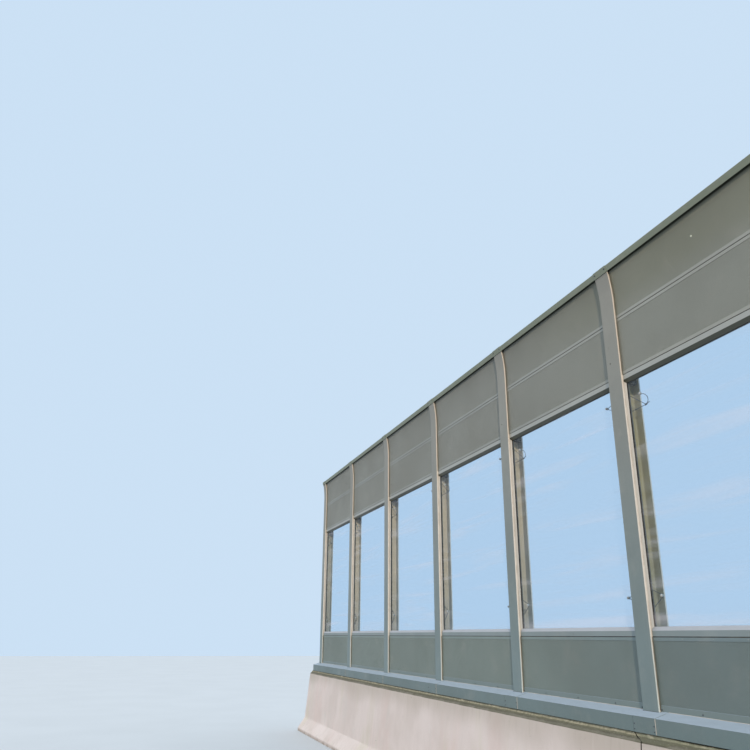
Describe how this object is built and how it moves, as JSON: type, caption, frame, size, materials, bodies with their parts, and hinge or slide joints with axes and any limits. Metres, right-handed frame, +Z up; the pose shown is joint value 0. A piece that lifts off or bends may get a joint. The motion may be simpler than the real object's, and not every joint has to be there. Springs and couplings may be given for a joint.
{
  "type": "highway noise barrier",
  "caption": "Roadside noise barrier on a concrete crash parapet: H-section posts lean in at the top and hold perforated metal panels below and above a clear panel row.",
  "frame": {"origin": "middle of the parapet's underside, at road level", "axes": "+X along the barrier, towards the end nearest the camera in the picture; -Y is the road side and +Y the far side; +Z up"},
  "size_m": [12.4, 0.672, 4.7924],
  "materials": {
    "concrete": "fair-faced concrete, stained and dusty",
    "mortar": "rough mortar, dirty",
    "joint_filler": "bituminous board",
    "post_paint": "satin grey paint",
    "galvanised_steel": "galvanised",
    "black_rubber": "matte",
    "seal_rubber": "pale, weathered",
    "mineral_wool": "bonded wool",
    "frame_paint": "satin grey paint",
    "clear_sheet": "clear, dusty",
    "plug_plastic": "matte",
    "wire_rope": "dull",
    "lower_panel_paint": "satin grey paint",
    "lower_perforated_sheet": "satin grey paint, finely perforated",
    "upper_panel_paint": "satin grey paint",
    "upper_perforated_sheet": "satin grey paint, finely perforated",
    "cover_paint": "satin blue-grey paint",
    "cap_paint": "satin grey paint"
  },
  "bodies": {
    "root": {"parapet_far": "concrete", "parapet_near": "concrete", "joint_board": "joint_filler", "levelling_mortar": "mortar", "posts": "post_paint", "anchor_bolts": "galvanised_steel", "bottom_rails": "galvanised_steel", "bottom_seals": "black_rubber", "lower_panel_cases": "lower_panel_paint", "lower_panel_sheets": "lower_perforated_sheet", "lower_panel_wool": "mineral_wool", "frame_sills": "frame_paint", "frame_heads": "frame_paint", "frame_stiles": "frame_paint", "clear_sheets": "clear_sheet", "glazing_rubbers": "black_rubber", "rope_plugs": "plug_plastic", "safety_ropes": "wire_rope", "rope_eyes": "wire_rope", "upper_panel_cases": "upper_panel_paint", "upper_panel_sheets": "upper_perforated_sheet", "upper_panel_wool": "mineral_wool", "top_panel_cases": "upper_panel_paint", "top_panel_sheets": "upper_perforated_sheet", "top_panel_wool": "mineral_wool", "row_joints": "black_rubber", "post_seals": "seal_rubber", "packings": "black_rubber", "road_covers": "cover_paint", "back_covers": "cover_paint", "cover_joint_plates": "cover_paint", "cover_ends": "cover_paint", "cap_rails": "cap_paint", "cap_joints": "cap_paint"}
  },
  "joints": []
}
